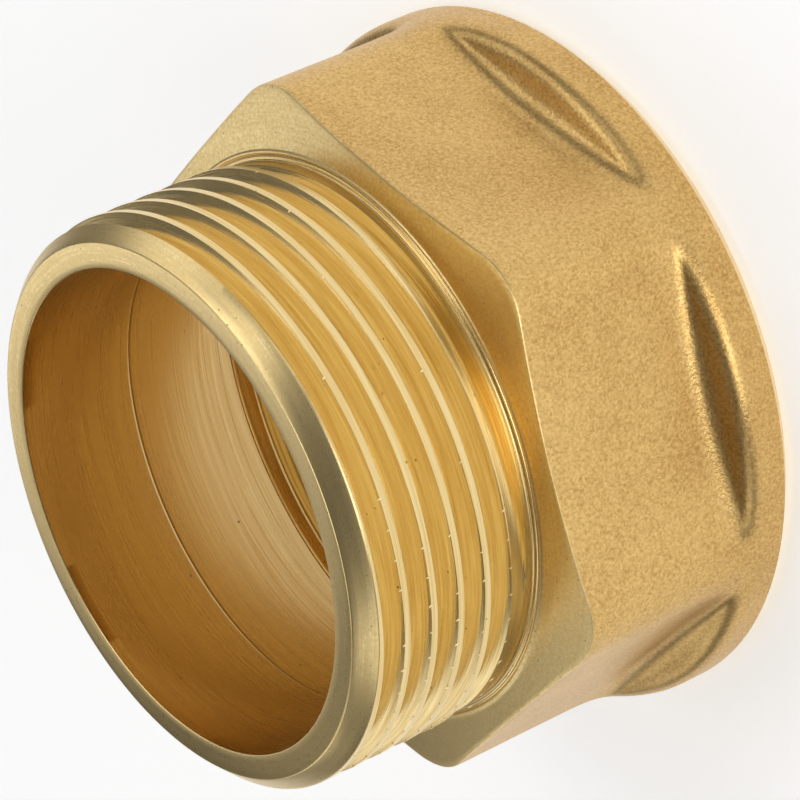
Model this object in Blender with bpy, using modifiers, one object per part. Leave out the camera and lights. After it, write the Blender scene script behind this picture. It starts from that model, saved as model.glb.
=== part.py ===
"""Hexagon pipe fitting: a 1 1/4 inch pipe thread outside on one end, the same thread inside the other.

The real thing is one brass forging, machined at both ends, so it is one solid. It stands on its
socket end: +Z is the axis, the origin is the middle of that end face, and the spigot points up.
Lengths are in metres and angles in radians.
"""

import math

import bmesh
import bpy

MM = 0.001

# Pipe thread, 11 turns to the inch, 55 degree form (G 1 1/4)
PITCH = 2.309 * MM
CREST_RADIUS = 20.955 * MM          # outside of the spigot thread, bottom of the socket thread
ROOT_RADIUS = 19.476 * MM           # bottom of the spigot thread, inside of the socket thread
FLANK_ANGLE = math.radians(27.5)

# Heights above the socket end face
LENGTH = 34.0 * MM
THREAD_RUN_OUT = 21.42 * MM         # a turned relief lies below this
NECK_FOOT = 18.83 * MM              # where the spigot meets the hexagon
BORE_END = 16.7 * MM                # the through bore opens into the socket
SOCKET_THREAD_END = 13.0 * MM       # a relief groove lies above this
SHOULDER_ON_FLAT = 5.05 * MM
SHOULDER_ON_COLLAR = 4.15 * MM

# Radii
BORE_RADIUS = 17.83 * MM
END_FACE_RADIUS = 19.69 * MM        # outer edge of the spigot's end face
NECK_RADIUS = 20.5 * MM             # turned relief at the spigot's foot
RELIEF_RADIUS = 21.3 * MM
SOCKET_MOUTH_RADIUS = 21.6 * MM
COLLAR_RADIUS = 26.0 * MM

# Hexagon
ACROSS_FLATS = 46.0 * MM
CORNER_RADIUS = 5.2 * MM
CHAMFER_SLOPE = 0.207               # fall of the hexagon's top face for each unit of radius
CHAMFER_START_RADIUS = 21.3 * MM

# Edges
LEAD_CHAMFER = 1.3 * MM             # height of the chamfer at the spigot's end
BACK_CHAMFER = 1.1 * MM             # on the collar's outer edge
MOUTH_CHAMFER = 1.7 * MM
BORE_EDGE = 0.4 * MM
SHOULDER_EDGE = 0.15 * MM

STEPS = 48                          # facets round each turned shape
CORNER_SEGMENTS = 6
OVERLAP = 2.0 * MM                  # how far a cutter or a joined shape runs past a face
CLEAR = 0.03 * MM                   # keeps joined turned faces from lying in one another
WELD = 1e-7

BRASS = (0.60, 0.40, 0.14, 1.0)


def clear_scene():
    """Remove whatever the file holds."""
    for old in list(bpy.data.objects):
        bpy.data.objects.remove(old, do_unlink=True)


def make_collection(name):
    """Add an empty collection to the scene."""
    made = bpy.data.collections.new(name)
    bpy.context.scene.collection.children.link(made)
    return made


def brass():
    """Plain machined brass."""
    made = bpy.data.materials.new("brass")
    made.use_nodes = True
    shader = made.node_tree.nodes["Principled BSDF"]
    shader.inputs["Base Color"].default_value = BRASS
    shader.inputs["Metallic"].default_value = 1.0
    shader.inputs["Roughness"].default_value = 0.35
    return made


def profile_object(name, points, collection):
    """An object that holds a chain of (radius, height) points as edges in the XZ plane."""
    mesh = bpy.data.meshes.new(name)
    outline = bmesh.new()
    chain = [outline.verts.new((radius, 0.0, height)) for radius, height in points]
    for start, end in zip(chain, chain[1:]):
        outline.edges.new((start, end))
    outline.to_mesh(mesh)
    outline.free()
    made = bpy.data.objects.new(name, mesh)
    collection.objects.link(made)
    return made


def add_screw(piece, rise):
    """Turn a profile once about Z, rising by the given height."""
    screw = piece.modifiers.new("turn", "SCREW")
    screw.axis = "Z"
    screw.angle = 2.0 * math.pi
    screw.steps = STEPS
    screw.render_steps = STEPS
    screw.screw_offset = rise
    screw.use_merge_vertices = True
    screw.merge_threshold = WELD


def turned(name, points, collection):
    """A solid of revolution; the points run from the axis at the top to the axis at the bottom."""
    piece = profile_object(name, points, collection)
    add_screw(piece, 0.0)
    return piece


def as_helper(piece):
    """Mark a shape that only cuts or joins others."""
    piece.hide_render = True
    piece.display_type = "WIRE"
    return piece


def thread_tooth(top):
    """One tooth of the thread as (radius, height) points running down from the given height."""
    flank = (CREST_RADIUS - ROOT_RADIUS) * math.tan(FLANK_ANGLE)
    flat = (PITCH - 2.0 * flank) / 2.0
    return [
        (ROOT_RADIUS, top),
        (ROOT_RADIUS, top - flat),
        (CREST_RADIUS, top - flat - flank),
        (CREST_RADIUS, top - 2.0 * flat - flank),
    ]


def threaded_rod(name, top, bottom, collection):
    """A solid rod with a right-hand thread, its ends left as one turn of a ramp.

    The whole zigzag outline rises by one tooth in one turn, so each tooth meets the next.
    """
    teeth = math.ceil((top - bottom) / PITCH)
    outline = [(0.0, top)]
    for tooth in range(teeth):
        outline += thread_tooth(top - tooth * PITCH)
    outline += [(ROOT_RADIUS, top - teeth * PITCH), (0.0, top - teeth * PITCH)]
    turning = profile_object(name + "_outline", outline, collection)
    add_screw(turning, PITCH)
    evaluated = turning.evaluated_get(bpy.context.evaluated_depsgraph_get())
    mesh = bpy.data.meshes.new_from_object(evaluated)
    bpy.data.objects.remove(turning, do_unlink=True)
    rod = bmesh.new()
    rod.from_mesh(mesh)
    bmesh.ops.remove_doubles(rod, verts=rod.verts, dist=WELD)
    rim = [edge for edge in rod.edges if edge.is_boundary]
    bmesh.ops.holes_fill(rod, edges=rim, sides=0)
    bmesh.ops.recalc_face_normals(rod, faces=rod.faces)
    rod.to_mesh(mesh)
    rod.free()
    made = bpy.data.objects.new(name, mesh)
    collection.objects.link(made)
    return made


def combine(piece, other, operation):
    """Join, cut or trim a piece with another shape."""
    boolean = piece.modifiers.new(other.name, "BOOLEAN")
    boolean.operation = operation
    boolean.object = other


def spigot_thread(collection):
    """The spigot: a threaded rod trimmed to its length, with the lead chamfer."""
    rod = threaded_rod("spigot_thread", LENGTH + OVERLAP, THREAD_RUN_OUT - 2.0 * OVERLAP, collection)
    outside = CREST_RADIUS + CLEAR
    trim = turned("spigot_trim", [
        (0.0, LENGTH),
        (END_FACE_RADIUS, LENGTH),
        (outside, LENGTH - LEAD_CHAMFER),
        (outside, THREAD_RUN_OUT - CLEAR),
        (0.0, THREAD_RUN_OUT - CLEAR),
    ], collection)
    combine(rod, as_helper(trim), "INTERSECT")
    return as_helper(rod)


def hexagon(collection):
    """The spanner hexagon: rounded corners, and a top face that falls away as a shallow cone.

    Two of its flats face along X.
    """
    bottom = SHOULDER_ON_COLLAR / 2.0
    top = NECK_FOOT + OVERLAP
    mesh = bpy.data.meshes.new("hexagon")
    prism = bmesh.new()
    circumradius = ACROSS_FLATS / 2.0 / math.cos(math.pi / 6.0)
    bmesh.ops.create_cone(
        prism, cap_ends=True, segments=6,
        radius1=circumradius, radius2=circumradius, depth=top - bottom,
    )
    bmesh.ops.translate(prism, verts=prism.verts, vec=(0.0, 0.0, (top + bottom) / 2.0))
    upright = [edge for edge in prism.edges if abs(edge.verts[0].co.z - edge.verts[1].co.z) > OVERLAP]
    setback = CORNER_RADIUS * math.tan(math.pi / 6.0)
    bmesh.ops.bevel(
        prism, geom=upright, offset=setback, offset_type="OFFSET",
        segments=CORNER_SEGMENTS, profile=0.5, affect="EDGES",
    )
    prism.to_mesh(mesh)
    prism.free()
    made = bpy.data.objects.new("hexagon", mesh)
    collection.objects.link(made)
    corner_fall = CHAMFER_SLOPE * (2.0 * COLLAR_RADIUS - CHAMFER_START_RADIUS)
    trim = turned("hexagon_trim", [
        (0.0, NECK_FOOT + SHOULDER_EDGE),
        (NECK_RADIUS, NECK_FOOT + SHOULDER_EDGE),
        (2.0 * COLLAR_RADIUS, NECK_FOOT - corner_fall),
        (2.0 * COLLAR_RADIUS, 0.0),
        (0.0, 0.0),
    ], collection)
    combine(made, as_helper(trim), "INTERSECT")
    return as_helper(made)


def through_bore(collection):
    """The plain bore and the relief groove behind it."""
    relief_foot = SOCKET_THREAD_END - (RELIEF_RADIUS - ROOT_RADIUS) / 2.0
    return as_helper(turned("through_bore", [
        (0.0, LENGTH + OVERLAP),
        (BORE_RADIUS, LENGTH + OVERLAP),
        (BORE_RADIUS, BORE_END + BORE_EDGE),
        (BORE_RADIUS + BORE_EDGE, BORE_END),
        (RELIEF_RADIUS, BORE_END),
        (RELIEF_RADIUS, SOCKET_THREAD_END),
        (ROOT_RADIUS - CLEAR, relief_foot),
        (0.0, relief_foot),
    ], collection))


def socket_thread(collection):
    """The tap that cuts the socket's thread; it runs from inside the relief to below the end face."""
    return as_helper(threaded_rod(
        "socket_thread", SOCKET_THREAD_END + PITCH / 2.0, -2.0 * OVERLAP, collection,
    ))


def socket_mouth(collection):
    """The lead chamfer in the socket's mouth."""
    inner = SOCKET_MOUTH_RADIUS - MOUTH_CHAMFER
    return as_helper(turned("socket_mouth", [
        (0.0, MOUTH_CHAMFER),
        (inner, MOUTH_CHAMFER),
        (SOCKET_MOUTH_RADIUS + OVERLAP, -OVERLAP),
        (0.0, -OVERLAP),
    ], collection))


def fitting_body(collection, helpers):
    """The whole forging: collar and relief turned, then hexagon and thread joined, then bored out."""
    shoulder_slope = (SHOULDER_ON_FLAT - SHOULDER_ON_COLLAR) / (COLLAR_RADIUS - ACROSS_FLATS / 2.0)
    inner_rise = shoulder_slope * (ACROSS_FLATS / 2.0 - NECK_RADIUS)
    body = turned("fitting_body", [
        (0.0, THREAD_RUN_OUT),
        (NECK_RADIUS, THREAD_RUN_OUT),
        (NECK_RADIUS, SHOULDER_ON_FLAT + inner_rise),
        (COLLAR_RADIUS - SHOULDER_EDGE, SHOULDER_ON_COLLAR + SHOULDER_EDGE * shoulder_slope),
        (COLLAR_RADIUS, SHOULDER_ON_COLLAR - SHOULDER_EDGE),
        (COLLAR_RADIUS, BACK_CHAMFER),
        (COLLAR_RADIUS - BACK_CHAMFER, 0.0),
        (0.0, 0.0),
    ], collection)
    combine(body, hexagon(helpers), "UNION")
    combine(body, spigot_thread(helpers), "UNION")
    combine(body, through_bore(helpers), "DIFFERENCE")
    combine(body, socket_thread(helpers), "DIFFERENCE")
    combine(body, socket_mouth(helpers), "DIFFERENCE")
    body.data.materials.append(brass())
    return body


def main():
    """Build the fitting."""
    clear_scene()
    fitting_body(make_collection("hexagon_pipe_fitting"), make_collection("helpers"))


main()
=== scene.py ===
"""Looks of a brass hexagon pipe fitting: one hot forging, shot blasted, then machined at both ends.

The forging is a closed grid of rings, in which every surface that a lathe leaves is round and every
surface that the forging die leaves follows the hexagon. Two helical grooves are then cut into it.
Sizes are in millimetres, heights run up from the socket's end face, and the mesh is in metres.
"""

import logging
import math
from dataclasses import dataclass, field
from enum import Enum
from typing import Optional, Sequence, Union

import bmesh
import bpy
import numpy as np
from mathutils import Matrix, Vector, noise


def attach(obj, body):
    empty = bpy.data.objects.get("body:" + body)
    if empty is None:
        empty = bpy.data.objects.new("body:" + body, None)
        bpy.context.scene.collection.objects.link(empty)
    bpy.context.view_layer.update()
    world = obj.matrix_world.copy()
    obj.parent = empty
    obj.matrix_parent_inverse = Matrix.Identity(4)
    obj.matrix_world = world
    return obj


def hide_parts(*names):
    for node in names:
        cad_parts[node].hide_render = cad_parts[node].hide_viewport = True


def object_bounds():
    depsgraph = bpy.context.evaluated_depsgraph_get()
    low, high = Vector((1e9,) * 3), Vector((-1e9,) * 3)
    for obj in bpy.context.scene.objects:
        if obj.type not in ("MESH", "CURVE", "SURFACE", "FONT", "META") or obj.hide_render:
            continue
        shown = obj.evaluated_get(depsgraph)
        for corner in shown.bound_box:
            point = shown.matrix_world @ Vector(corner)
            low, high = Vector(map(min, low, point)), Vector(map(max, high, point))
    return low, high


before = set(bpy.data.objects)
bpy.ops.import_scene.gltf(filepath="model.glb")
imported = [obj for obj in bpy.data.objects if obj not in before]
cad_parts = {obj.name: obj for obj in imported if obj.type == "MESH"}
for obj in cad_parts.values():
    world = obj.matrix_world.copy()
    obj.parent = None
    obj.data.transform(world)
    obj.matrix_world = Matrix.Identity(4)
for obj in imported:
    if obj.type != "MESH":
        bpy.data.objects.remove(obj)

CAD_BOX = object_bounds()

MM = 0.001
BODY_NAME = "root"
CAD_NODE = "fitting_body"

log = logging.getLogger("hexagon_fitting")

Ring = Union[float, np.ndarray]


# --------------------------------------------------------------------------- small helpers


def linear_colour(code: str) -> tuple[float, float, float, float]:
    """Turn an sRGB hex code into linear light.

    Args:
        code: The colour as "#RRGGBB".

    Returns:
        Linear red, green, blue and an alpha of one.
    """
    channels = [int(code[place:place + 2], 16) / 255.0 for place in (1, 3, 5)]
    red, green, blue = (
        channel / 12.92 if channel <= 0.04045 else ((channel + 0.055) / 1.055) ** 2.4
        for channel in channels
    )
    return red, green, blue, 1.0


def add_node(
    tree: bpy.types.NodeTree,
    kind: str,
    settings: Optional[dict[str, object]] = None,
    links: Optional[dict[Union[str, int], object]] = None,
) -> bpy.types.Node:
    """Add a node, set it up and join its inputs.

    Args:
        tree: The node tree to add to.
        kind: The node's type name.
        settings: Properties of the node, by name.
        links: Inputs by name or place; a value is an output socket to link, or a constant.

    Returns:
        The new node.
    """
    node = tree.nodes.new(kind)
    for name, value in (settings or {}).items():
        setattr(node, name, value)
    for key, value in (links or {}).items():
        socket = node.inputs[key]
        if isinstance(value, bpy.types.NodeSocket):
            tree.links.new(value, socket)
        else:
            socket.default_value = value
    return node


def maths(tree: bpy.types.NodeTree, operation: str, *values: object) -> bpy.types.NodeSocket:
    """Add a Math node and return its output.

    Args:
        tree: The node tree to add to.
        operation: The Math node's operation.
        values: Its inputs in order, as sockets or numbers.

    Returns:
        The result's socket.
    """
    node = add_node(tree, "ShaderNodeMath", {"operation": operation}, dict(enumerate(values)))
    return node.outputs[0]


# --------------------------------------------------------------------------- finishes


class Surface(Enum):
    """How each part of the fitting's surface was made; the value is its material slot's place."""

    FORGED = 0
    END_FACE = 1
    HEX_FACE = 2
    THREAD = 3
    BORE = 4
    # The burrs' finish: a pale colour that is a painted highlight.
    BURR_PAINTED_HIGHLIGHT = 5


@dataclass(frozen=True)
class BlastedBrass:
    """Brass as forged and shot blasted: the shot leaves a fine sparkling dimple grain."""

    name: str = "shot_blasted_forged_brass"
    light: str = "#E6C27E"
    dark: str = "#B98F50"
    grain_mm: float = 0.22          # spacing of the dimples, as coarse as it needs to show
    dent_mm: float = 0.030
    patch_mm: float = 6.0           # size of the broad patches where the tone drifts
    roughness: float = 0.38

    def build(self) -> bpy.types.Material:
        """Make the material."""
        made, tree, shader = brass_shader(self.name, self.roughness)
        place = add_node(tree, "ShaderNodeTexCoord").outputs["Object"]
        grain = add_node(tree, "ShaderNodeTexNoise", {"noise_dimensions": "3D"}, {
            "Vector": place, "Scale": 1.0 / (self.grain_mm * MM), "Detail": 2.0,
            "Roughness": 0.6, "Distortion": 0.4,
        }).outputs["Fac"]
        patches = add_node(tree, "ShaderNodeTexNoise", {"noise_dimensions": "3D"}, {
            "Vector": place, "Scale": 1.0 / (self.patch_mm * MM), "Detail": 3.0,
        }).outputs["Fac"]
        tone = maths(tree, "MULTIPLY_ADD", patches, 0.35, grain)
        ramp = add_node(tree, "ShaderNodeMapRange", {"clamp": True}, {
            "Value": tone, "From Min": 0.40, "From Max": 0.85,
        }).outputs["Result"]
        colour = add_node(tree, "ShaderNodeMix", {"data_type": "RGBA"}, {
            "Factor": ramp, 6: linear_colour(self.dark), 7: linear_colour(self.light),
        }).outputs[2]
        bump = add_node(tree, "ShaderNodeBump", {}, {
            "Height": grain, "Distance": self.dent_mm * MM, "Strength": 1.0,
        }).outputs["Normal"]
        tree.links.new(colour, shader.inputs["Base Color"])
        tree.links.new(bump, shader.inputs["Normal"])
        return made


@dataclass(frozen=True)
class TurnedBrass:
    """Brass off a lathe: marks that run round the axis, with a few pores and specks."""

    name: str
    light: str = "#F3DDA4"
    dark: str = "#E0BF7C"
    roughness: float = 0.22
    mark_mm: float = 0.10           # spacing of the tool marks
    mark_depth_mm: float = 0.0012
    streak_turns: float = 3.0       # how quickly a mark fades along its way round
    mark_share: float = 1.0         # how much of the relief is tool marks
    pore_mm: float = 0.55
    pore_share: float = 0.08
    pore_colour: str = "#5A4020"
    fine_grain: float = 0.0         # how much of the relief is grain with no direction
    fine_mm: float = 0.22
    sweep: float = 0.6              # how far the marks draw a highlight out across them

    def build(self) -> bpy.types.Material:
        """Make the material."""
        made, tree, shader = brass_shader(self.name, self.roughness)
        around = add_node(tree, "ShaderNodeTangent", {"direction_type": "RADIAL", "axis": "Z"})
        tree.links.new(around.outputs["Tangent"], shader.inputs["Tangent"])
        shader.inputs["Anisotropic"].default_value = self.sweep
        place = add_node(tree, "ShaderNodeTexCoord").outputs["Object"]
        split = add_node(tree, "ShaderNodeSeparateXYZ", {}, {0: place})
        across, along, height = split.outputs
        flat = add_node(tree, "ShaderNodeCombineXYZ", {}, {"X": across, "Y": along}).outputs[0]
        radius = add_node(
            tree, "ShaderNodeVectorMath", {"operation": "LENGTH"}, {0: flat}).outputs["Value"]
        density = 1.0 / (self.mark_mm * MM)
        ring_place = add_node(tree, "ShaderNodeCombineXYZ", {}, {
            "X": maths(tree, "MULTIPLY", radius, density),
            "Y": maths(tree, "MULTIPLY", maths(tree, "DIVIDE", across, radius), self.streak_turns),
            "Z": maths(tree, "MULTIPLY", maths(tree, "DIVIDE", along, radius), self.streak_turns),
        }).outputs[0]
        marks = add_node(tree, "ShaderNodeTexNoise", {"noise_dimensions": "4D"}, {
            "Vector": ring_place, "W": maths(tree, "MULTIPLY", height, density),
            "Scale": 1.0, "Detail": 2.0, "Roughness": 0.65,
        }).outputs["Fac"]
        cells = add_node(tree, "ShaderNodeTexVoronoi", {"feature": "F1"}, {
            "Vector": place, "Scale": 1.0 / (self.pore_mm * MM), "Randomness": 1.0,
        })
        lucky = add_node(
            tree, "ShaderNodeSeparateColor", {}, {0: cells.outputs["Color"]}).outputs[0]
        size = maths(tree, "MULTIPLY", maths(tree, "SUBTRACT", lucky, 1.0 - self.pore_share),
                     0.16 / max(self.pore_share, 0.01))
        pore = add_node(tree, "ShaderNodeMapRange", {"clamp": True}, {
            "Value": maths(tree, "SUBTRACT", size, cells.outputs["Distance"]),
            "From Min": -0.02, "From Max": 0.03,
        }).outputs["Result"]
        fine = add_node(tree, "ShaderNodeTexNoise", {}, {
            "Vector": place, "Scale": 1.0 / (self.fine_mm * MM), "Detail": 2.0,
        }).outputs["Fac"]
        weighed = maths(
            tree, "MULTIPLY_ADD", maths(tree, "SUBTRACT", marks, 0.5), self.mark_share, 0.5)
        tone = maths(
            tree, "MULTIPLY_ADD", maths(tree, "SUBTRACT", fine, 0.5), self.fine_grain, weighed)
        ramp = add_node(tree, "ShaderNodeMapRange", {"clamp": True}, {
            "Value": tone, "From Min": 0.3, "From Max": 0.7,
        }).outputs["Result"]
        turned = add_node(tree, "ShaderNodeMix", {"data_type": "RGBA"}, {
            "Factor": ramp, 6: linear_colour(self.dark), 7: linear_colour(self.light),
        }).outputs[2]
        colour = add_node(tree, "ShaderNodeMix", {"data_type": "RGBA"}, {
            "Factor": maths(tree, "MULTIPLY", pore, 0.75), 6: turned, 7: linear_colour(self.pore_colour),
        }).outputs[2]
        height_sum = maths(tree, "SUBTRACT", tone, maths(tree, "MULTIPLY", pore, 3.0))
        bump = add_node(tree, "ShaderNodeBump", {}, {
            "Height": height_sum, "Distance": self.mark_depth_mm * MM, "Strength": 1.0,
        }).outputs["Normal"]
        rough = add_node(tree, "ShaderNodeMapRange", {"clamp": True}, {
            "Value": tone, "From Min": 0.3, "From Max": 0.7,
            "To Min": self.roughness * 1.2, "To Max": self.roughness * 0.8,
        }).outputs["Result"]
        tree.links.new(colour, shader.inputs["Base Color"])
        tree.links.new(bump, shader.inputs["Normal"])
        tree.links.new(rough, shader.inputs["Roughness"])
        return made


def brass_shader(
    name: str, roughness: float,
) -> tuple[bpy.types.Material, bpy.types.NodeTree, bpy.types.Node]:
    """Start a brass material.

    Args:
        name: The material's name.
        roughness: Its roughness where nothing drives it.

    Returns:
        The material, its node tree and its shader node.
    """
    made = bpy.data.materials.new(name)
    made.use_nodes = True
    shader = made.node_tree.nodes["Principled BSDF"]
    shader.inputs["Metallic"].default_value = 1.0
    shader.inputs["Roughness"].default_value = roughness
    return made, made.node_tree, shader


FINISHES: dict[Surface, Union[BlastedBrass, TurnedBrass]] = {
    # Untouched by the lathe: matt, with a fine even grain.
    Surface.FORGED: BlastedBrass(),
    # Faced off: satin, with small dark pores where the cut opened the forging.
    Surface.END_FACE: TurnedBrass(
        "turned_brass_end_face", roughness=0.30, mark_share=0.5, fine_grain=0.35,
        mark_depth_mm=0.002, pore_mm=0.42, pore_share=0.30),
    # One broad facing cut over the hexagon: dull, grainy and the most pitted.
    Surface.HEX_FACE: TurnedBrass(
        "turned_brass_hexagon_face", roughness=0.36, mark_share=0.4, fine_grain=0.7,
        mark_depth_mm=0.003, pore_mm=0.40, pore_share=0.34, sweep=0.4),
    # Cut with a threading tool: bright, with clear lines running round.
    Surface.THREAD: TurnedBrass(
        "cut_brass_thread", roughness=0.24, mark_mm=0.17, mark_depth_mm=0.011, streak_turns=2.0,
        pore_share=0.12, sweep=0.8),
    # Bored smooth: bright, with faint lines running round.
    Surface.BORE: TurnedBrass(
        "bored_brass", light="#EFD398", dark="#E0BD7C", roughness=0.25, mark_mm=0.16,
        mark_depth_mm=0.003, streak_turns=1.5, pore_share=0.10, sweep=0.8),
    # Metal torn up at the crests' edges, coloured the palest as a painted highlight, with no tool marks.
    Surface.BURR_PAINTED_HIGHLIGHT: TurnedBrass(
        "burr_brass_painted_highlight", light="#FBEBC0", dark="#F3DDA4", roughness=0.32, pore_share=0.0,
        sweep=0.0),
}


# --------------------------------------------------------------------------- the forging


@dataclass
class Corner:
    """One corner of the outline that the rings follow.

    Attributes:
        radius: Distance from the axis, one value or one for each column.
        height: Height above the socket's end face, likewise.
        round_off: How far back from the corner its rounding starts, likewise.
        steps: Rings in the rounding.
        surface: The finish from this corner to the next.
        divisions: Rings between this corner and the next.
    """

    radius: Ring
    height: Ring
    round_off: Ring = 0.0
    steps: int = 0
    surface: Surface = Surface.THREAD
    divisions: int = 0


@dataclass
class ForgedBody:
    """The fitting's one solid piece."""

    length: float = (CAD_BOX[1].z - CAD_BOX[0].z) / MM
    collar_radius: float = CAD_BOX[1].x / MM
    across_flats: float = 46.0
    corner_radius: float = 5.2
    columns: int = 300
    corner_gathering: float = 0.5   # how much closer together the columns are at the corners
    crest_radius: float = 20.955
    root_radius: float = 19.476
    pitch: float = 2.309
    bore_radius: float = 17.83
    relief_radius: float = 21.3
    face_height: float = 18.83
    face_radius: float = 21.3
    face_slope: float = 0.207
    undercut_radius: float = 20.5
    undercut_top: float = 21.26
    end_face_radius: float = 19.69
    lead_chamfer: float = 1.30      # height of the chamfer at the spigot's end
    back_chamfer: float = 1.10      # on the collar's outer edge
    waviness: float = 0.045         # how far the forged surface strays from true
    seed_place: tuple[float, float, float] = (3.7, 1.9, 8.2)
    angles: np.ndarray = field(init=False)
    hexagon: np.ndarray = field(init=False)

    def __post_init__(self) -> None:
        """Work out the columns' angles and the hexagon's radius at each."""
        even = np.arange(self.columns) * 2.0 * math.pi / self.columns
        offset = even - math.pi / 6.0
        self.angles = even - self.corner_gathering * np.sin(6.0 * offset) / 6.0
        self.hexagon = self.hexagon_radius(self.angles)

    def hexagon_radius(self, angles: np.ndarray) -> np.ndarray:
        """Distance from the axis to the rounded hexagon.

        Args:
            angles: Angles about the axis, in radians.

        Returns:
            One radius for each angle.
        """
        apothem = self.across_flats / 2.0
        from_flat = np.abs((angles + math.pi / 6.0) % (math.pi / 3.0) - math.pi / 6.0)
        middle = apothem - self.corner_radius
        flat_end = middle * math.tan(math.pi / 6.0)
        on_flat = apothem / np.cos(from_flat)
        centre = middle / math.cos(math.pi / 6.0)
        from_corner = math.pi / 6.0 - from_flat
        reach = np.maximum(self.corner_radius ** 2 - (centre * np.sin(from_corner)) ** 2, 0.0)
        on_corner = centre * np.cos(from_corner) + np.sqrt(reach)
        return np.where(apothem * np.tan(from_flat) <= flat_end, on_flat, on_corner)

    def outline(self) -> list[Corner]:
        """The outline's corners, out over the end face, down the outside, and up inside."""
        hexagon = self.hexagon
        step = self.collar_radius - hexagon
        full_step = self.collar_radius - self.across_flats / 2.0
        face_edge = self.face_height - self.face_slope * (hexagon - self.face_radius)
        at_corner = ((full_step - step) / full_step) ** 3
        shoulder_foot = 4.88 - 0.22 * (full_step - step) + 2.2 * at_corner
        shoulder_rim = 4.05 - 1.6 * at_corner
        softness = 1.35 + 0.45 * (full_step - step)
        land_foot = self.face_height + 0.16
        bore = self.bore_radius
        return [
            Corner(bore, self.length, 0.10, 3, Surface.END_FACE, 2),
            Corner(self.end_face_radius, self.length, 0.10, 3, Surface.END_FACE, 2),
            Corner(self.crest_radius, self.length - self.lead_chamfer, 0.12, 3, Surface.THREAD, 0),
            Corner(self.crest_radius, self.undercut_top, 0.06, 2, Surface.THREAD, 0),
            Corner(self.undercut_radius, self.undercut_top - 0.12, 0.06, 2, Surface.THREAD, 2),
            Corner(self.undercut_radius, land_foot, 0.24, 5, Surface.THREAD, 0),
            Corner(20.80, land_foot - 0.02, 0.03, 1, Surface.THREAD, 0),
            Corner(20.87, land_foot - 0.16, 0.04, 1, Surface.THREAD, 0),
            Corner(20.97, land_foot - 0.15, 0.03, 1, Surface.THREAD, 0),
            Corner(21.02, land_foot - 0.05, 0.03, 1, Surface.HEX_FACE, 0),
            Corner(21.16, land_foot - 0.07, 0.03, 1, Surface.HEX_FACE, 0),
            Corner(21.28, self.face_height, 0.06, 2, Surface.HEX_FACE, 8),
            Corner(hexagon, face_edge, 0.15, 3, Surface.FORGED, 26),
            Corner(hexagon, shoulder_foot, softness, 12, Surface.FORGED, 4),
            Corner(self.collar_radius, shoulder_rim, 0.75 * softness, 9, Surface.FORGED, 6),
            Corner(self.collar_radius, self.back_chamfer, 0.12, 3, Surface.END_FACE, 1),
            Corner(self.collar_radius - self.back_chamfer, 0.0, 0.08, 2, Surface.END_FACE, 2),
            Corner(21.6, 0.0, 0.08, 2, Surface.END_FACE, 1),
            Corner(self.root_radius, 1.95, 0.10, 2, Surface.THREAD, 0),
            Corner(self.root_radius, 12.6, 0.10, 2, Surface.BORE, 0),
            Corner(self.relief_radius, 13.5, 0.20, 3, Surface.BORE, 0),
            Corner(self.relief_radius, 16.7, 0.30, 4, Surface.BORE, 1),
            Corner(bore + 0.12, 16.7, 0.03, 1, Surface.BORE, 0),
            Corner(bore, 16.82, 0.04, 1, Surface.BORE, 5),
            Corner(bore, self.length - 9.50, 0.0, 0, Surface.BORE, 0),
            Corner(bore, self.length - 9.36, 0.0, 0, Surface.BORE, 0),
            Corner(bore + 0.02, self.length - 9.30, 0.0, 0, Surface.BORE, 0),
            Corner(bore + 0.004, self.length - 9.24, 0.0, 0, Surface.BORE, 0),
            Corner(bore + 0.004, self.length - 9.10, 0.0, 0, Surface.BORE, 6),
        ]

    def rings(self) -> tuple[np.ndarray, np.ndarray, list[Surface]]:
        """Follow the outline, rounding its corners.

        Returns:
            Radii and heights as arrays of rings by columns, and the finish below each ring.
        """
        corners = self.outline()
        full = np.ones(self.columns)
        points = [np.stack([full * c.radius, full * c.height]) for c in corners]
        places: list[np.ndarray] = []
        surfaces: list[Surface] = []
        total = len(corners)
        for index, corner in enumerate(corners):
            here, ahead = points[index], points[(index + 1) % total]
            before, after = points[index - 1] - here, ahead - here
            reach_in, reach_out = np.hypot(*before), np.hypot(*after)
            start = here + before * np.minimum(full * corner.round_off / reach_in, 0.45)
            end = here + after * np.minimum(full * corner.round_off / reach_out, 0.45)
            for part in range(corner.steps + 1):
                share = part / corner.steps if corner.steps else 0.0
                places.append(
                    (1.0 - share) ** 2 * start + 2.0 * share * (1.0 - share) * here
                    + share ** 2 * end)
                surfaces.append(corners[index - 1].surface if share < 0.5 else corner.surface)
            surfaces[-1] = corner.surface
            ahead_off = corners[(index + 1) % total].round_off
            next_start = ahead - after * np.minimum(full * ahead_off / reach_out, 0.45)
            for part in range(1, corner.divisions + 1):
                places.append(end + (next_start - end) * part / (corner.divisions + 1))
                surfaces.append(corner.surface)
        grid = np.stack(places)
        return grid[:, 0, :], grid[:, 1, :], surfaces

    def strayed(self, radii: np.ndarray, heights: np.ndarray, surfaces: list[Surface]) -> np.ndarray:
        """Let the forged surface wander inwards a little, as a die leaves it.

        Args:
            radii: Radii of the rings.
            heights: Their heights.
            surfaces: The finish below each ring.

        Returns:
            The radii, changed on the forged rings.
        """
        moved = radii.copy()
        shift = Vector(self.seed_place)
        for ring, surface in enumerate(surfaces):
            if surface is not Surface.FORGED:
                continue
            for column, angle in enumerate(self.angles):
                place = Vector((
                    math.cos(angle) * radii[ring, column],
                    math.sin(angle) * radii[ring, column],
                    heights[ring, column],
                ))
                broad = noise.noise(place / 5.0 + shift)
                close = noise.noise(place / 1.7 + shift)
                wander = 0.5 + 0.5 * (0.75 * broad + 0.25 * close)
                moved[ring, column] -= self.waviness * wander
        return moved

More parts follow.
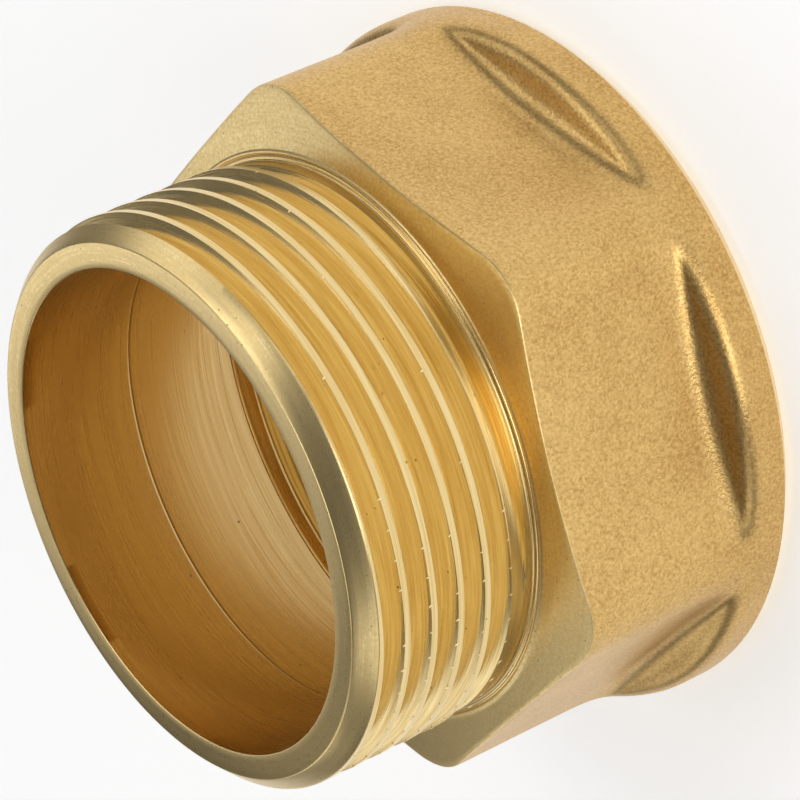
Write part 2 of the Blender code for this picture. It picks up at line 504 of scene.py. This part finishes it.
    def build_grid(self) -> bpy.types.Object:
        """Make the closed grid, before its threads are cut."""
        radii, heights, surfaces = self.rings()
        radii = self.strayed(radii, heights, surfaces)
        count = radii.shape[0]
        across = radii * np.cos(self.angles)
        along = radii * np.sin(self.angles)
        points = np.stack([across, along, heights], axis=-1).reshape(-1, 3) * MM
        faces = []
        slots = []
        for ring in range(count):
            below = (ring + 1) % count
            for column in range(self.columns):
                beside = (column + 1) % self.columns
                faces.append((
                    ring * self.columns + column,
                    below * self.columns + column,
                    below * self.columns + beside,
                    ring * self.columns + beside,
                ))
                slots.append(surfaces[ring].value)
        mesh = bpy.data.meshes.new("fitting_grid")
        mesh.from_pydata(points.tolist(), [], faces)
        for surface in Surface:
            mesh.materials.append(MATERIALS[surface])
        mesh.polygons.foreach_set("material_index", slots)
        mesh.update()
        log.info("forging: %d rings of %d columns", count, self.columns)
        return link_object("fitting_grid", mesh)


def link_object(name: str, mesh: bpy.types.Mesh) -> bpy.types.Object:
    """Put a mesh in the scene as an object at the origin."""
    made = bpy.data.objects.new(name, mesh)
    bpy.context.scene.collection.objects.link(made)
    return made


# --------------------------------------------------------------------------- the threads


@dataclass
class ThreadGroove:
    """A helical groove of 55 degree form, swept by Geometry Nodes and used as a cutter.

    Attributes:
        name: The cutter's name.
        radius: Radius of the crests that the groove is cut between.
        inward: True where the groove runs in towards the axis.
        foot: Height of the groove's middle at its lower end.
        turns: How many turns it makes.
        phase: Angle of its lower end, in degrees.
        foot_fade: Over how many turns at the lower end it runs out of the metal.
        top_fade: The same at the upper end.
    """

    name: str
    radius: float
    inward: bool
    foot: float
    turns: float
    phase: float
    foot_fade: float
    top_fade: float
    pitch: float = 2.309
    depth: float = 1.479
    crest: float = 0.52
    flank_angle: float = 27.5
    rounding: float = 0.10
    outline_points: int = 23
    steps_each_turn: int = 160
    surface: Surface = Surface.THREAD

    def tree(self) -> bpy.types.NodeTree:
        """Build the node tree that sweeps the groove's outline along a helix."""
        tree = bpy.data.node_groups.new(self.name + "_sweep", "GeometryNodeTree")
        tree.interface.new_socket("Geometry", in_out="INPUT", socket_type="NodeSocketGeometry")
        for label in self.sizes():
            tree.interface.new_socket(label, in_out="INPUT", socket_type="NodeSocketFloat")
        tree.interface.new_socket("Geometry", in_out="OUTPUT", socket_type="NodeSocketGeometry")
        given = add_node(tree, "NodeGroupInput").outputs
        rise = maths(tree, "MULTIPLY", given["Pitch"], given["Turns"])
        helix = add_node(tree, "GeometryNodeCurveSpiral", {}, {
            "Resolution": self.steps_each_turn, "Rotations": given["Turns"],
            "Start Radius": given["Radius"], "End Radius": given["Radius"], "Height": rise,
            "Reverse": True,
        }).outputs["Curve"]
        share = add_node(tree, "GeometryNodeSplineParameter").outputs["Factor"]
        climbed = maths(tree, "MULTIPLY", share, given["Turns"])
        remaining = maths(tree, "SUBTRACT", given["Turns"], climbed)
        fullness = maths(
            tree, "MINIMUM", maths(tree, "DIVIDE", climbed, given["Foot fade"]),
            maths(tree, "DIVIDE", remaining, given["Top fade"]))
        near_end = add_node(
            tree, "ShaderNodeMapRange", {"interpolation_type": "SMOOTHSTEP", "clamp": True}, {
                "Value": fullness, "From Min": 0.0, "From Max": 1.0,
                "To Min": given["Lift"], "To Max": 0.0,
            }).outputs["Result"]
        place = add_node(tree, "GeometryNodeInputPosition").outputs[0]
        flat = add_node(tree, "ShaderNodeVectorMath", {"operation": "MULTIPLY"}, {
            0: place, 1: (1.0, 1.0, 0.0),
        }).outputs[0]
        outwards = add_node(
            tree, "ShaderNodeVectorMath", {"operation": "NORMALIZE"}, {0: flat}).outputs[0]
        lift = add_node(tree, "ShaderNodeVectorMath", {"operation": "SCALE"}, {
            0: outwards, "Scale": near_end,
        }).outputs[0]
        faded = add_node(tree, "GeometryNodeSetPosition", {}, {"Geometry": helix, "Offset": lift})
        upright = add_node(tree, "GeometryNodeSetCurveNormal", {"mode": "Z_UP"}, {
            0: faded.outputs["Geometry"],
        }).outputs[0]
        swept = add_node(tree, "GeometryNodeCurveToMesh", {}, {
            "Curve": upright, "Profile Curve": self.groove_outline(tree, given), "Fill Caps": True,
        }).outputs["Mesh"]
        turned = add_node(tree, "GeometryNodeTransform", {}, {
            "Geometry": swept,
            "Translation": add_node(
                tree, "ShaderNodeCombineXYZ", {}, {"Z": given["Foot"]}).outputs[0],
            "Rotation": add_node(
                tree, "ShaderNodeCombineXYZ", {}, {"Z": given["Phase"]}).outputs[0],
        }).outputs["Geometry"]
        real = add_node(tree, "GeometryNodeRealizeInstances", {}, {0: turned}).outputs[0]
        dressed = add_node(tree, "GeometryNodeSetMaterial", {}, {
            "Geometry": real, "Material": MATERIALS[self.surface],
        }).outputs[0]
        add_node(tree, "NodeGroupOutput", {}, {0: dressed})
        return tree

    def groove_outline(
        self, tree: bpy.types.NodeTree, given: bpy.types.NodeOutputs,
    ) -> bpy.types.NodeSocket:
        """Shape a straight line into the groove's cross-section and close it.

        Args:
            tree: The node tree to add to.
            given: The group's inputs.

        Returns:
            The closed outline, its depth along X and its width along Y.
        """
        reach = maths(tree, "MULTIPLY", given["Mouth"], 1.12)
        left = add_node(tree, "ShaderNodeCombineXYZ", {}, {
            "Y": maths(tree, "MULTIPLY", reach, -1.0)}).outputs[0]
        right = add_node(tree, "ShaderNodeCombineXYZ", {}, {"Y": reach}).outputs[0]
        line = add_node(tree, "GeometryNodeCurvePrimitiveLine", {}, {"Start": left, "End": right})
        points = add_node(tree, "GeometryNodeResampleCurve", {}, {
            "Curve": line.outputs[0], "Count": self.outline_points,
        }).outputs[0]
        aside = add_node(tree, "ShaderNodeSeparateXYZ", {}, {
            0: add_node(tree, "GeometryNodeInputPosition").outputs[0],
        }).outputs["Y"]
        slope = math.tan(math.radians(self.flank_angle))
        flank = maths(tree, "DIVIDE", maths(
            tree, "SUBTRACT", given["Mouth"], maths(tree, "ABSOLUTE", aside)), slope)
        bottomed = maths(tree, "SMOOTH_MIN", flank, given["Depth"], given["Rounding"])
        lipped = maths(tree, "SMOOTH_MAX", bottomed, maths(
            tree, "MULTIPLY", given["Rounding"], -0.6), given["Rounding"])
        sideways = add_node(tree, "ShaderNodeCombineXYZ", {}, {
            "X": maths(tree, "MULTIPLY", lipped, given["Side"]),
        }).outputs[0]
        shaped = add_node(tree, "GeometryNodeSetPosition", {}, {
            "Geometry": points, "Offset": sideways,
        }).outputs["Geometry"]
        return add_node(tree, "GeometryNodeSetSplineCyclic", {}, {
            "Geometry": shaped, "Cyclic": True,
        }).outputs[0]

    def sizes(self) -> dict[str, float]:
        """The tree's inputs by name, in metres and radians."""
        return {
            "Radius": self.radius * MM,
            "Pitch": self.pitch * MM,
            "Turns": self.turns,
            "Depth": self.depth * MM,
            "Mouth": (self.pitch - self.crest) / 2.0 * MM,
            "Rounding": self.rounding * MM,
            "Foot": self.foot * MM,
            "Phase": math.radians(self.phase),
            "Foot fade": self.foot_fade,
            "Top fade": self.top_fade,
            "Lift": (self.depth + 0.3) * MM * (1.0 if self.inward else -1.0),
            "Side": -1.0 if self.inward else 1.0,
        }

    def build(self) -> bpy.types.Object:
        """Sweep the groove and return it as a plain closed mesh."""
        cutter = link_object(self.name, bpy.data.meshes.new(self.name))
        return apply_tree(cutter, self.tree(), self.sizes())


@dataclass
class CrestNicks:
    """Small burrs that the threading tool leaves at even steps along the crest's front edge, coloured
    pale as a painted highlight.

    Attributes:
        name: The piece's name.
        radius: Radius of the crest.
        foot: Height of the edge where the burrs start.
        turns: How many turns they follow the thread for.
        phase: Angle of the first, in degrees.
        worst: Bearing at which the tool chattered most, in degrees.
        step: Angle between neighbours, in degrees.
    """

    name: str
    radius: float
    foot: float
    turns: float
    phase: float
    worst: float = -35.0
    step: float = 6.0
    pitch: float = 2.309
    length: float = 0.42
    width: float = 0.15
    rise: float = 0.07
    spread: float = 32.0            # how far either side of the worst bearing it chattered
    seed: int = 11

    def tree(self) -> bpy.types.NodeTree:
        """Build the node tree that sets the burrs along a helix."""
        tree = bpy.data.node_groups.new(self.name + "_setting", "GeometryNodeTree")
        tree.interface.new_socket("Geometry", in_out="INPUT", socket_type="NodeSocketGeometry")
        for label in self.sizes():
            tree.interface.new_socket(label, in_out="INPUT", socket_type="NodeSocketFloat")
        tree.interface.new_socket("Geometry", in_out="OUTPUT", socket_type="NodeSocketGeometry")
        given = add_node(tree, "NodeGroupInput").outputs
        helix = add_node(tree, "GeometryNodeCurveSpiral", {}, {
            "Resolution": int(360.0 / self.step), "Rotations": given["Turns"],
            "Start Radius": given["Radius"], "End Radius": given["Radius"],
            "Height": maths(tree, "MULTIPLY", given["Pitch"], given["Turns"]),
            "Reverse": True,
        }).outputs["Curve"]
        place = add_node(tree, "GeometryNodeInputPosition").outputs[0]
        outwards = add_node(tree, "ShaderNodeVectorMath", {"operation": "MULTIPLY"}, {
            0: place, 1: (1.0, 1.0, 0.0),
        }).outputs[0]
        radial = add_node(
            tree, "ShaderNodeVectorMath", {"operation": "NORMALIZE"}, {0: outwards}).outputs[0]
        facing_out = add_node(tree, "FunctionNodeAlignRotationToVector", {"axis": "Z"}, {
            "Vector": radial,
        }).outputs[0]
        upright = add_node(
            tree, "FunctionNodeAlignRotationToVector", {"axis": "X", "pivot_axis": "Z"}, {
                "Rotation": facing_out, "Vector": (0.0, 0.0, 1.0),
            }).outputs[0]
        slant = add_node(tree, "FunctionNodeRandomValue", {"data_type": "FLOAT"}, {
            2: -0.1, 3: 0.6, "Seed": self.seed,
        }).outputs[1]
        slanted = add_node(tree, "FunctionNodeRotateRotation", {"rotation_space": "LOCAL"}, {
            "Rotation": upright,
            "Rotate By": add_node(tree, "ShaderNodeCombineXYZ", {}, {"Z": slant}).outputs[0],
        }).outputs[0]
        worst = add_node(tree, "ShaderNodeCombineXYZ", {}, {
            "X": maths(tree, "COSINE", given["Worst"]), "Y": maths(tree, "SINE", given["Worst"]),
        }).outputs[0]
        nearness = add_node(tree, "ShaderNodeVectorMath", {"operation": "DOT_PRODUCT"}, {
            0: radial, 1: worst,
        }).outputs["Value"]
        chance = add_node(tree, "ShaderNodeMapRange", {"clamp": True}, {
            "Value": nearness, "From Min": maths(tree, "SUBTRACT", given["Nearness"], 0.03),
            "From Max": given["Nearness"], "To Min": 0.05, "To Max": 0.92,
        }).outputs["Result"]
        draw = add_node(tree, "FunctionNodeRandomValue", {"data_type": "FLOAT"}, {
            2: 0.0, 3: 1.0, "Seed": self.seed + 1,
        }).outputs[1]
        chosen = add_node(tree, "FunctionNodeCompare", {"operation": "LESS_THAN"}, {
            0: draw, 1: chance,
        }).outputs[0]
        size = add_node(tree, "FunctionNodeRandomValue", {"data_type": "FLOAT"}, {
            2: 0.6, 3: 1.15, "Seed": self.seed + 2,
        }).outputs[1]
        axes = add_node(tree, "ShaderNodeCombineXYZ", {}, {
            "X": given["Length"], "Y": given["Width"], "Z": given["Rise"],
        }).outputs[0]
        burr = add_node(tree, "GeometryNodeTransform", {}, {
            "Geometry": add_node(tree, "GeometryNodeMeshIcoSphere", {}, {
                "Radius": 0.5, "Subdivisions": 2,
            }).outputs["Mesh"],
            "Scale": axes,
        }).outputs["Geometry"]
        points = add_node(tree, "GeometryNodeCurveToPoints", {"mode": "EVALUATED"}, {
            "Curve": helix}).outputs["Points"]
        set_out = add_node(tree, "GeometryNodeInstanceOnPoints", {}, {
            "Points": points, "Selection": chosen, "Instance": burr, "Rotation": slanted,
            "Scale": size,
        }).outputs["Instances"]
        turned = add_node(tree, "GeometryNodeTransform", {}, {
            "Geometry": add_node(tree, "GeometryNodeRealizeInstances", {}, {
                0: set_out}).outputs[0],
            "Translation": add_node(
                tree, "ShaderNodeCombineXYZ", {}, {"Z": given["Foot"]}).outputs[0],
            "Rotation": add_node(
                tree, "ShaderNodeCombineXYZ", {}, {"Z": given["Phase"]}).outputs[0],
        }).outputs["Geometry"]
        # The burrs take the palest finish, which is a painted highlight.
        dressed = add_node(tree, "GeometryNodeSetMaterial", {}, {
            "Geometry": turned, "Material": MATERIALS[Surface.BURR_PAINTED_HIGHLIGHT],
        }).outputs[0]
        add_node(tree, "NodeGroupOutput", {}, {0: dressed})
        return tree

    def sizes(self) -> dict[str, float]:
        """The tree's inputs by name, in metres and radians."""
        return {
            "Radius": self.radius * MM,
            "Pitch": self.pitch * MM,
            "Turns": self.turns,
            "Foot": self.foot * MM,
            "Phase": math.radians(self.phase),
            "Worst": math.radians(self.worst - self.phase),
            "Nearness": math.cos(math.radians(self.spread)),
            "Length": self.length * MM,
            "Width": self.width * MM,
            "Rise": self.rise * MM,
        }

    def build(self) -> bpy.types.Object:
        """Set the burrs and return them as one plain mesh."""
        piece = link_object(self.name, bpy.data.meshes.new(self.name))
        piece = apply_tree(piece, self.tree(), self.sizes())
        piece.data.shade_smooth()
        return piece


def apply_tree(
    carrier: bpy.types.Object, tree: bpy.types.NodeTree, sizes: dict[str, float],
) -> bpy.types.Object:
    """Run a Geometry Nodes tree on an object and keep its result as a plain mesh.

    Args:
        carrier: The object that carries the modifier.
        tree: The node tree.
        sizes: Values for its named inputs.

    Returns:
        The same object, with the result as its mesh and no modifier.
    """
    modifier = carrier.modifiers.new(tree.name, "NODES")
    modifier.node_group = tree
    for item in tree.interface.items_tree:
        if item.in_out == "INPUT" and item.name in sizes:
            modifier[item.identifier] = sizes[item.name]
    evaluated = carrier.evaluated_get(bpy.context.evaluated_depsgraph_get())
    mesh = bpy.data.meshes.new_from_object(evaluated)
    carrier.modifiers.remove(modifier)
    carrier.data = mesh
    shell = bmesh.new()
    shell.from_mesh(mesh)
    bmesh.ops.remove_doubles(shell, verts=shell.verts, dist=1e-7)
    bmesh.ops.recalc_face_normals(shell, faces=shell.faces)
    shell.to_mesh(mesh)
    shell.free()
    log.info("%s: %d faces", carrier.name, len(mesh.polygons))
    return carrier


def cut(body: bpy.types.Object, cutters: Sequence[bpy.types.Object]) -> bpy.types.Mesh:
    """Cut shapes out of a body and return the result.

    Args:
        body: The closed body.
        cutters: Closed shapes to take away.

    Returns:
        The cut mesh.
    """
    for cutter in cutters:
        boolean = body.modifiers.new(cutter.name, "BOOLEAN")
        boolean.operation = "DIFFERENCE"
        boolean.solver = "EXACT"
        boolean.material_mode = "TRANSFER"
        boolean.object = cutter
    evaluated = body.evaluated_get(bpy.context.evaluated_depsgraph_get())
    mesh = bpy.data.meshes.new_from_object(evaluated)
    for spent in [body, *cutters]:
        bpy.data.objects.remove(spent, do_unlink=True)
    return mesh


def shaded(piece: bpy.types.Object, sharp_angle: float = 32.0) -> bpy.types.Object:
    """Shade a piece smooth between its sharp edges, with its large faces staying true.

    Args:
        piece: The piece.
        sharp_angle: Edges sharper than this, in degrees, stay sharp.

    Returns:
        The same piece, with the normals kept in its mesh.
    """
    piece.data.shade_smooth()
    piece.data.set_sharp_from_angle(angle=math.radians(sharp_angle))
    weighting = piece.modifiers.new("true_faces", "WEIGHTED_NORMAL")
    weighting.mode = "FACE_AREA"
    weighting.keep_sharp = True
    evaluated = piece.evaluated_get(bpy.context.evaluated_depsgraph_get())
    mesh = bpy.data.meshes.new_from_object(evaluated)
    piece.modifiers.remove(weighting)
    piece.data = mesh
    mesh.name = piece.name
    return piece


# --------------------------------------------------------------------------- studio


@dataclass(frozen=True)
class Softbox:
    """A square softbox facing the fitting; the bearing and height are in degrees."""

    name: str
    bearing: float
    height: float
    brightness: float
    side: float = 200.0


@dataclass
class Studio:
    """The camera, the pale floor and the soft lights.

    A ring of equal tent walls with gaps between them gives turned faces their bands. Three softboxes
    add to it: a strong low one in front, one high on the spigot's side, and one overhead.
    """

    aim: tuple[float, float, float] = (1.18, 1.27, 14.53)
    azimuth: float = 108.54
    elevation: float = 31.64
    roll: float = -114.0
    distance: float = 351.8
    lens: float = 225.0
    floor_half: float = 3.0         # half the floor's side, in metres
    floor_glow: float = 0.4
    sky_glow: float = 0.1
    box_distance: float = 400.0
    box_aim: float = 17.0
    tent_walls: int = 6
    tent_height: float = 30.0
    tent_brightness: float = 1.1
    softboxes: tuple[Softbox, ...] = (
        Softbox("front", bearing=0.0, height=15.0, brightness=3.0),
        Softbox("spigot_side", bearing=90.0, height=60.0, brightness=2.0),
        Softbox("overhead", bearing=200.0, height=70.0, brightness=1.8),
    )

    def build(self) -> None:
        """Set up everything that isn't the fitting."""
        bpy.context.scene.view_settings.view_transform = "Standard"
        self.camera()
        self.floor()
        self.world()
        self.lights()

    def camera(self) -> None:
        """Place the camera by its bearing round the fitting."""
        turn, rise = math.radians(self.azimuth), math.radians(self.elevation)
        back = Vector((
            math.sin(turn) * math.cos(rise), -math.cos(turn) * math.cos(rise), math.sin(rise)))
        data = bpy.data.cameras.new("camera")
        data.lens = self.lens
        data.clip_start, data.clip_end = 0.01, 10.0
        camera = bpy.data.objects.new("camera", data)
        bpy.context.scene.collection.objects.link(camera)
        facing = (-back).to_track_quat("-Z", "Y").to_matrix().to_4x4()
        rolled = facing @ Matrix.Rotation(math.radians(self.roll), 4, "Z")
        place = (Vector(self.aim) + back * self.distance) * MM
        camera.matrix_world = Matrix.Translation(place) @ rolled
        bpy.context.scene.camera = camera

    def floor(self) -> None:
        """A plain white floor."""
        mesh = bpy.data.meshes.new("floor")
        half = self.floor_half
        mesh.from_pydata(
            [(-half, -half, 0.0), (half, -half, 0.0), (half, half, 0.0), (-half, half, 0.0)],
            [], [(0, 1, 2, 3)])
        floor = link_object("floor", mesh)
        paper = bpy.data.materials.new("white_paper")
        paper.use_nodes = True
        shader = paper.node_tree.nodes["Principled BSDF"]
        shader.inputs["Base Color"].default_value = linear_colour("#F4F4F4")
        shader.inputs["Roughness"].default_value = 0.9
        shader.inputs["Emission Color"].default_value = linear_colour("#FFFFFF")
        shader.inputs["Emission Strength"].default_value = self.floor_glow
        mesh.materials.append(paper)

    def world(self) -> None:
        """Even white surroundings."""
        world = bpy.data.worlds.new("studio")
        world.use_nodes = True
        world.node_tree.nodes["Background"].inputs["Color"].default_value = linear_colour("#FFFFFF")
        world.node_tree.nodes["Background"].inputs["Strength"].default_value = self.sky_glow
        bpy.context.scene.world = world

    def tent(self) -> list[Softbox]:
        """The tent's walls, evenly spaced round the fitting."""
        step = 360.0 / self.tent_walls
        return [
            Softbox(f"tent_wall_{wall}", wall * step, self.tent_height, self.tent_brightness)
            for wall in range(self.tent_walls)
        ]

    def lights(self) -> None:
        """Place each softbox at its bearing, facing the fitting."""
        for box in [*self.tent(), *self.softboxes]:
            turn, rise = math.radians(box.bearing), math.radians(box.height)
            away = Vector((
                math.cos(turn) * math.cos(rise), math.sin(turn) * math.cos(rise), math.sin(rise)))
            data = bpy.data.lights.new(box.name, "AREA")
            data.shape = "SQUARE"
            data.size = box.side * MM
            data.energy = box.brightness * math.pi * data.size ** 2
            light = bpy.data.objects.new(box.name, data)
            bpy.context.scene.collection.objects.link(light)
            place = away * self.box_distance + Vector((0.0, 0.0, self.box_aim))
            facing = (-away).to_track_quat("-Z", "Y").to_matrix().to_4x4()
            light.matrix_world = Matrix.Translation(place * MM) @ facing


# --------------------------------------------------------------------------- assembly


MATERIALS: dict[Surface, bpy.types.Material] = {
    surface: finish.build() for surface, finish in FINISHES.items()
}


def main() -> None:
    """Build the fitting and its studio."""
    logging.basicConfig(level=logging.INFO, format="%(name)s: %(message)s")
    Studio().build()
    forging = ForgedBody()
    spigot = ThreadGroove(
        "spigot_groove", forging.crest_radius, True, foot=19.65, turns=5.78, phase=-60.0,
        foot_fade=0.21, top_fade=0.28)
    socket = ThreadGroove(
        "socket_groove", forging.root_radius, False, foot=-2.6, turns=7.0, phase=0.0,
        foot_fade=0.01, top_fade=0.01)
    mesh = cut(forging.build_grid(), [spigot.build(), socket.build()])
    body = shaded(link_object("forged_fitting", mesh))
    mesh = body.data
    log.info("forged_fitting: %d faces, %d corners", len(mesh.polygons), len(mesh.loops))
    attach(body, BODY_NAME)
    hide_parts(CAD_NODE)
    nicks = CrestNicks(
        "crest_burrs", forging.crest_radius + 0.005, foot=21.10, turns=4.9, phase=-60.0).build()
    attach(nicks, BODY_NAME)


if __name__ == "__main__":
    main()
